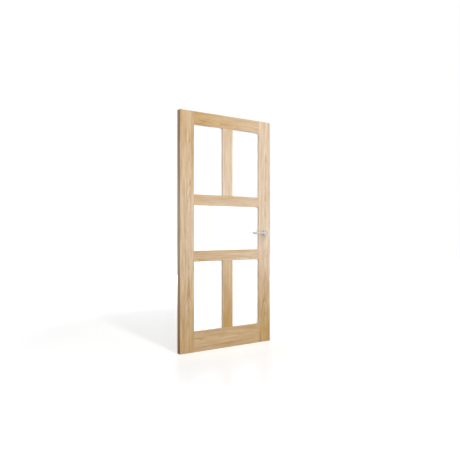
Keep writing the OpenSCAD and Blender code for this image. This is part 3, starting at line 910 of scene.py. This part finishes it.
@dataclass
class Glazing:
    """Panes, gaskets and mitred beads of the five lights, with the beads' pins."""

    lights: tuple[str, ...] = ("top_left", "top_right", "middle", "bottom_left", "bottom_right")
    bead_arris: float = 0.6 * MM
    bead_back: float = 6 * MM
    heart_across: float = 0.11
    heart_through: float = 0.14
    lowest_bead_paleness: float = 0.3
    paleness_and_sheen_rise: float = 0.4
    first_seed: float = 2.0
    light_seed: float = 1.7
    side_seed: float = 0.6
    pin_spacing: float = 190 * MM
    pin_end: float = 45 * MM
    pin_radius: float = 1.3 * MM
    pin_sides: int = 16
    pin_proud: float = 0.06 * MM
    pin_depth: float = 1.0 * MM
    pin_outward: float = 2 * MM
    pin_colour: Colour = srgb(170, 165, 158)
    glass: GlassFinish = field(default_factory=GlassFinish)
    rubber: RubberFinish = field(default_factory=RubberFinish)

    def build(self) -> None:
        """Dress the panes and gaskets, ease the beads and pin them."""
        pane, seal = self.glass.build(), self.rubber.build()
        for light in self.lights:
            dress(frame["nodes"]["glass_" + light], pane)
            dress(frame["nodes"]["gasket_" + light], seal)
            LOG.info("pane and gasket %s", light)
        places = [(light, side, number) for number, light in enumerate(self.lights) for side in Side]
        self._pins([self._bead(*place) for place in places])

    def _bead(self, light: str, side: Side, number: int) -> tuple[Vector, Vector]:
        """Ease and dress one bead.

        Args:
            light: Name of the light.
            side: Side of the light.
            number: Place of the light in the list, which sets the board.

        Returns:
            The ends of the line that its pins stand on.
        """
        node = f"bead_{light}_{side.name.lower()}"
        low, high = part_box(node)
        centre = (low + high) / 2
        made = eased_copy(node, self.bead_arris, lambda edge: middle(edge).y > high.y - self.bead_back)
        if side in (Side.BOTTOM, Side.TOP):
            grain, across, ends = Grain.LEVEL, centre.z, (low.x, high.x)
            run = Vector((high.x - low.x, 0, 0))
        else:
            grain, across, ends = Grain.UPRIGHT, centre.x, (low.z, high.z)
            run = Vector((0, 0, high.z - low.z))
        heart = (across + self.heart_across, self.heart_through)
        seed = self.first_seed + number * self.light_seed + len(side.name) * self.side_seed
        # Painted light: beads higher on the door are paler, and those lower down darker.
        bead_paleness_and_sheen = self.lowest_bead_paleness + self.paleness_and_sheen_rise * centre.z / CAD_BOX[1][2]
        dress(made, OakFinish("oak_" + node, grain, heart, seed, (bead_paleness_and_sheen, bead_paleness_and_sheen, bead_paleness_and_sheen), ends).build())
        LOG.info("bead %s", node)
        inset = run.normalized() * self.pin_end
        line_centre = Vector((centre.x, high.y + self.pin_proud, centre.z))
        line_centre += Vector(side.value) * self.pin_outward
        return line_centre - run / 2 + inset, line_centre + run / 2 - inset

    def _pins(self, lines: list[tuple[Vector, Vector]]) -> None:
        """Stand pin heads along each bead, as one piece.

        Args:
            lines: The ends of each bead's line of pins.
        """
        mesh = bpy.data.meshes.new("bead_pins")
        points = [tuple(end) for line in lines for end in line]
        mesh.from_pydata(points, [(i, i + 1) for i in range(0, len(points), 2)], [])
        pins = add_object("bead_pins", mesh)
        material = MetalFinish("pin_steel", self.pin_colour, Lay.UPRIGHT, roughness=0.45).build()
        tree = StampTree("pin_row")
        line = tree.node("GeometryNodeMeshToCurve", {0: tree.source})
        spots = tree.node("GeometryNodeResampleCurve",
                          {0: line, "Length": tree.input("Spacing", self.pin_spacing)}, {"mode": "LENGTH"})
        head = tree.node("GeometryNodeMeshCylinder",
                         {"Vertices": self.pin_sides, "Radius": tree.input("Radius", self.pin_radius),
                          "Depth": tree.input("Depth", self.pin_depth)})
        set_in = tree.node("GeometryNodeTransform",
                           {0: head, "Translation": (0.0, -self.pin_depth / 2, 0.0),
                            "Rotation": (QUARTER_TURN, 0.0, 0.0)})
        stamped = tree.node("GeometryNodeInstanceOnPoints", {"Points": spots, "Instance": set_in})
        tree.settle(pins, stamped, material)
        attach(pins, "leaf")
        LOG.info("bead pins, %d faces", len(pins.data.polygons))


@dataclass
class LeverFurniture:
    """Levers, roses, plates, bushes, grub screws, spindle and through bolts."""

    faces: tuple[str, ...] = ("front", "rear")
    satin: Colour = srgb(184, 181, 176)
    # The rose's steel is set darker than the lever's, which paints shade onto the rose.
    turned: Colour = srgb(160, 155, 148)
    plated: Colour = srgb(176, 178, 182)
    bronze: Colour = srgb(188, 150, 104)

    def build(self) -> None:
        """Dress every piece of the lever set."""
        low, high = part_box("front_rose_cover")
        axis = ((low.x + high.x) / 2, (low.z + high.z) / 2)
        bar = MetalFinish("satin_steel_bar", self.satin, Lay.ALONG_BAR, axis, roughness=0.22).build()
        rose = MetalFinish("satin_steel_rose", self.turned, Lay.ROUND_AXIS, axis, roughness=0.24).build()
        zinc = MetalFinish("plated_steel", self.plated, Lay.ROUND_AXIS, axis,
                           roughness=0.38, marks=0.15, anisotropy=0.1).build()
        bush = MetalFinish("bearing_bronze", self.bronze, Lay.ROUND_AXIS, axis,
                           roughness=0.34, marks=0.2, anisotropy=0.1).build()
        pairs = {"lever": bar, "rose_cover": rose, "rose_plate": zinc, "bush": bush, "grub_screw": zinc}
        dresses = {f"{face}_{piece}": metal for face in self.faces for piece, metal in pairs.items()}
        dresses.update(spindle=zinc, through_bolts=zinc)
        for node, metal in dresses.items():
            dress(frame["nodes"][node], metal)
            LOG.info("lever furniture %s", node)


@dataclass(frozen=True)
class CrossScrew:
    """A countersunk screw with a cross recess."""

    sides: int = 32
    head_r: float = 3.8 * MM
    head_land: float = 0.2 * MM
    head_h: float = 2.6 * MM
    shank_r: float = 2.0 * MM
    # The point starts at a share of the length and ends at a share of the shank's radius.
    point_start: float = 0.8
    point_share: float = 0.15
    recess_half: float = 2.1 * MM
    recess_slot: float = 0.55 * MM
    recess_depth: float = 1.5 * MM
    recess_taper: float = 0.8
    recess_turn: float = 0.3

    def mesh(self, length: float) -> bpy.types.Mesh:
        """Make one screw, its head's face at height 0 and its shank below.

        Args:
            length: Length of the screw.

        Returns:
            The mesh.
        """
        work = bmesh.new()
        self._turn_body(work, length)
        self._cut_recess(work)
        rim = [edge for edge in work.edges if edge.is_boundary]
        bmesh.ops.triangle_fill(work, use_beauty=True, use_dissolve=False, edges=rim)
        bmesh.ops.recalc_face_normals(work, faces=work.faces)
        bmesh.ops.rotate(work, matrix=Matrix.Rotation(self.recess_turn, 3, "Z"), verts=work.verts)
        mesh = bpy.data.meshes.new("edge_screw")
        work.to_mesh(mesh)
        work.free()
        return mesh

    def _turn_body(self, work: bmesh.types.BMesh, length: float) -> None:
        """Make the head's rim, the countersink, the shank and the point.

        Args:
            work: The mesh to add to.
            length: Length of the screw.
        """
        arc = [2 * math.pi * i / self.sides for i in range(self.sides)]
        profile = ((self.head_r, 0.0), (self.head_r, -self.head_land), (self.shank_r, -self.head_h),
                   (self.shank_r, -length * self.point_start), (self.shank_r * self.point_share, -length))
        loops = [[work.verts.new((radius * math.cos(a), radius * math.sin(a), height)) for a in arc]
                 for radius, height in profile]
        for upper, lower in zip(loops, loops[1:]):
            self._join(work, lower, upper)
        work.faces.new(loops[-1])

    def _cut_recess(self, work: bmesh.types.BMesh) -> None:
        """Make the walls and floor of the cross.

        Args:
            work: The mesh to add to.
        """
        far, near = self.recess_half, self.recess_slot
        outline = [(far, near), (near, near), (near, far)]
        for _ in range(3):
            outline += [(-v, u) for u, v in outline[-3:]]
        mouth = [work.verts.new((u, v, 0.0)) for u, v in outline]
        base = [work.verts.new((u * self.recess_taper, v * self.recess_taper, -self.recess_depth))
                for u, v in outline]
        self._join(work, mouth, base)
        work.faces.new(base)

    @staticmethod
    def _join(work: bmesh.types.BMesh, upper: list[bmesh.types.BMVert],
              lower: list[bmesh.types.BMVert]) -> None:
        """Make faces between two loops of points.

        Args:
            work: The mesh to add to.
            upper: One loop.
            lower: The other loop, point for point.
        """
        count = len(upper)
        for i in range(count):
            k = (i + 1) % count
            work.faces.new((upper[i], upper[k], lower[k], lower[i]))


@dataclass
class MorticeLatch:
    """Case, forend, bolt, follower, spring and screws of the latch in the lock edge."""

    satin: Colour = srgb(168, 165, 160)
    plated: Colour = srgb(172, 174, 178)
    spring_steel: Colour = srgb(150, 152, 156)
    edge_ease: float = 0.35 * MM
    shortest_edge: float = 6 * MM
    spring_turns: float = 7.0
    spring_steps: int = 28
    wire_d: float = 0.9 * MM
    wire_sides: int = 8
    screw: CrossScrew = field(default_factory=CrossScrew)

    def build(self) -> None:
        """Dress the latch and build its spring and screws."""
        brushed = MetalFinish("satin_steel_edge", self.satin, Lay.UPRIGHT).build()
        zinc = MetalFinish("plated_steel_case", self.plated, Lay.UPRIGHT, roughness=0.4, marks=0.12).build()
        for node in ("latch_case", "latch_cover", "case_screws", "follower"):
            dress(frame["nodes"][node], zinc)
            LOG.info("latch %s", node)
        for node in ("forend", "latch_bolt"):
            made = eased_copy(node, self.edge_ease, lambda edge: edge.calc_length() > self.shortest_edge)
            dress(made, brushed)
            LOG.info("latch %s", node)
        self._spring()
        self._screws(brushed)

    def _spring(self) -> None:
        """Wind the spring behind the bolt."""
        low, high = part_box("latch_spring")
        coil = add_object("latch_coil", bpy.data.meshes.new("latch_coil"))
        radius = (high.z - low.z) / 2 - self.wire_d / 2
        tree = StampTree("spring_coil")
        helix = tree.node("GeometryNodeCurveSpiral", {
            "Resolution": tree.input("Steps per turn", self.spring_steps),
            "Rotations": tree.input("Turns", self.spring_turns),
            "Start Radius": radius,
            "End Radius": radius,
            "Height": tree.input("Length", high.x - low.x - self.wire_d)})
        wire = tree.node("GeometryNodeCurvePrimitiveCircle", {
            "Resolution": self.wire_sides,
            "Radius": tree.input("Wire radius", self.wire_d / 2)})
        tube = tree.node("GeometryNodeCurveToMesh",
                         {"Curve": helix, "Profile Curve": wire, "Fill Caps": True})
        place = (low.x + self.wire_d / 2, (low.y + high.y) / 2, (low.z + high.z) / 2)
        laid = tree.node("GeometryNodeTransform",
                         {0: tube, "Translation": place, "Rotation": (0.0, QUARTER_TURN, 0.0)})
        smooth = tree.node("GeometryNodeSetShadeSmooth", {0: laid})
        finish = MetalFinish("spring_wire", self.spring_steel, Lay.ROUND_AXIS, roughness=0.35)
        tree.settle(coil, smooth, finish.build())
        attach(coil, "leaf")
        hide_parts("latch_spring")
        travel = next(j["range_m"][1] for j in frame["joints"] if j["name"] == "latch_slide")
        whole = high.x - low.x
        (whole - travel) / whole
        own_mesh(coil)
        LOG.info("latch spring, %d faces", len(coil.data.polygons))

    def _screws(self, material: Material) -> None:
        """Set the forend's two screws at their places.

        Args:
            material: The screws' finish.
        """
        low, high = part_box("forend_screws")
        pattern = add_object("screw_pattern", self.screw.mesh(high.x - low.x))
        spots = bpy.data.meshes.new("forend_cross_screws")
        head = (high.y - low.y) / 2
        spots.from_pydata([(high.x, 0, low.z + head), (high.x, 0, high.z - head)], [], [])
        screws = add_object("forend_cross_screws", spots)
        tree = StampTree("edge_screws")
        one = tree.node("GeometryNodeObjectInfo", {"Object": pattern}, output="Geometry")
        stamped = tree.node("GeometryNodeInstanceOnPoints",
                            {"Points": tree.source, "Instance": one, "Rotation": (0.0, QUARTER_TURN, 0.0)})
        tree.settle(screws, stamped, material)
        bpy.data.objects.remove(pattern)
        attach(screws, "leaf")
        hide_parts("forend_screws")
        LOG.info("forend screws, %d faces", len(screws.data.polygons))


@dataclass(frozen=True)
class Softbox:
    """A rectangular lamp that can show in mirrors but not to the camera."""

    name: str
    place: Point
    aim: Point
    size: Pair
    watts: float
    mirrored: bool = True

    def build(self) -> None:
        """Hang the lamp and aim it."""
        data = bpy.data.lights.new(self.name, "AREA")
        data.shape = "RECTANGLE"
        data.size, data.size_y = self.size
        data.energy = self.watts
        lamp = add_object(self.name, data)
        lamp.visible_camera = False
        lamp.visible_glossy = self.mirrored
        lamp.location = self.place
        lamp.rotation_euler = (Vector(self.aim) - Vector(self.place)).to_track_quat("-Z", "Y").to_euler()


def shows_background(graph: Graph) -> Value:
    """1 for rays that show the background: those from the camera, mirrors and glass."""
    path = graph.node("ShaderNodeLightPath", output="Is Camera Ray")
    return path.largest(path.out("Is Glossy Ray")).largest(path.out("Is Transmission Ray"))


@dataclass(frozen=True)
class FloorFinish:
    """A pale floor with its own glow, which is weaker round the door so that its shadow shows.

    The camera sees colour, glow and a faint mirror image. Mirrors and glass see plain white, and other rays
    meet the bounce colour. Pairs of numbers are the distances between which a change comes in.
    """

    name: str = "pale_floor"
    colour: Colour = (0.9, 0.9, 0.9, 1.0)
    bounce: Colour = (0.32, 0.31, 0.30, 1.0)
    glow: float = 0.335
    glow_rise: float = 0.445
    glow_centre: float = 0.5
    glow_reach: Pair = (1.4, 3.0)
    front_shade_dip: float = 0.14
    front_reach: Pair = (-0.05, 0.4)
    front_half: Pair = (0.5, 1.2)
    gloss: float = 0.08
    gloss_roughness: float = 0.2

    def build(self) -> Material:
        """Make the material.

        Returns:
            The material.
        """
        s = Surface(self.name)
        x, y, _ = s.place()
        behind = y - self.glow_centre
        away = (x * x + behind * behind).root().step(*self.glow_reach)
        # Painted shade: the glow dips in front of the door's base, and the faint mirror image shows there.
        front = (y * -1.0).step(*self.front_reach) * (1.0 - abs(x).step(*self.front_half))
        level = self.glow + away * self.glow_rise - front * self.front_shade_dip
        glow = s.mix(level, BLACK, WHITE)
        lit = s.node("ShaderNodeBsdfDiffuse", {"Color": self.colour})
        own = s.node("ShaderNodeEmission", {"Color": glow, "Strength": 1.0})
        pale = s.node("ShaderNodeAddShader", {0: lit, 1: own})
        mirror = s.node("ShaderNodeBsdfAnisotropic", {"Color": WHITE, "Roughness": self.gloss_roughness})
        pale = s.node("ShaderNodeMixShader", {0: self.gloss, 1: pale, 2: mirror})
        plain = s.node("ShaderNodeBsdfDiffuse", {"Color": self.bounce})
        white = s.node("ShaderNodeEmission", {"Color": WHITE, "Strength": 1.0})
        camera = s.node("ShaderNodeLightPath", output="Is Camera Ray")
        mixed = s.node("ShaderNodeMixShader", {0: shows_background(s), 1: plain, 2: white})
        mixed = s.node("ShaderNodeMixShader", {0: camera, 1: mixed, 2: pale})
        s.node("ShaderNodeOutputMaterial", {"Surface": mixed})
        return s.material


@dataclass
class Studio:
    """White floor and surroundings, lamps and the camera at the photograph's standpoint."""

    image_px: float = 460.0
    focal_px: float = 473.42
    horizon_px: float = 231.75
    sensor: float = 36.0
    stand: Point = (-2.24445, -3.49688, 1.0075)
    heading_deg: float = 33.155
    ambient: float = 0.48
    floor_half: float = 14.0
    floor: FloorFinish = field(default_factory=FloorFinish)
    lamps: tuple[Softbox, ...] = (
        Softbox("key", (-0.4, -4.0, 5.2), (0.0, 0.2, 0.9), (0.35, 4.0), 114.0),
        Softbox("side", (2.4, -2.8, 1.6), (0.2, 0.0, 1.2), (3.4, 3.4), 40.0),
        Softbox("fill", (-3.0, -5.7, 1.2), (0.0, 0.0, 0.8), (3.0, 1.6), 126.0),
        Softbox("rear", (2.6, 6.5, 0.55), (0.0, 0.0, 1.0), (3.0, 0.9), 230.0, False),
    )

    def build(self) -> None:
        """Make the floor, surroundings, lamps and camera."""
        bpy.context.scene.view_settings.view_transform = "Standard"
        self._surroundings()
        self._floor()
        for lamp in self.lamps:
            lamp.build()
        self._camera()

    def _surroundings(self) -> None:
        """Make them white where they are seen, and a soft even light elsewhere."""
        world = bpy.data.worlds.new("surroundings")
        world.use_nodes = True
        bpy.context.scene.world = world
        graph = Graph(world.node_tree)
        level = shows_background(graph) * (1.0 - self.ambient) + self.ambient
        light = graph.node("ShaderNodeBackground", {"Color": WHITE, "Strength": level})
        graph.node("ShaderNodeOutputWorld", {"Surface": light})

    def _floor(self) -> None:
        """Lay a floor that stays white in the picture and takes the door's shadow."""
        half = self.floor_half
        corners = [(-half, -half, 0), (half, -half, 0), (half, half, 0), (-half, half, 0)]
        mesh = bpy.data.meshes.new("floor")
        mesh.from_pydata(corners, [], [(0, 1, 2, 3)])
        floor = add_object("floor", mesh)
        dress(floor, self.floor.build())

    def _camera(self) -> None:
        """Stand the camera level, with the horizon where the photograph has it."""
        data = bpy.data.cameras.new("camera")
        data.sensor_width = self.sensor
        data.lens = self.focal_px / self.image_px * self.sensor
        data.shift_y = (self.horizon_px - self.image_px / 2) / self.image_px
        camera = add_object("camera", data)
        camera.location = self.stand
        camera.rotation_euler = (QUARTER_TURN, 0, -math.radians(self.heading_deg))
        bpy.context.scene.camera = camera


def main() -> None:
    """Build the door's looks, then the studio."""
    for part in (OakFrame(), Glazing(), LeverFurniture(), MorticeLatch(), Studio()):
        part.build()
        LOG.info("%s done", type(part).__name__)


if __name__ == "__main__":
    main()
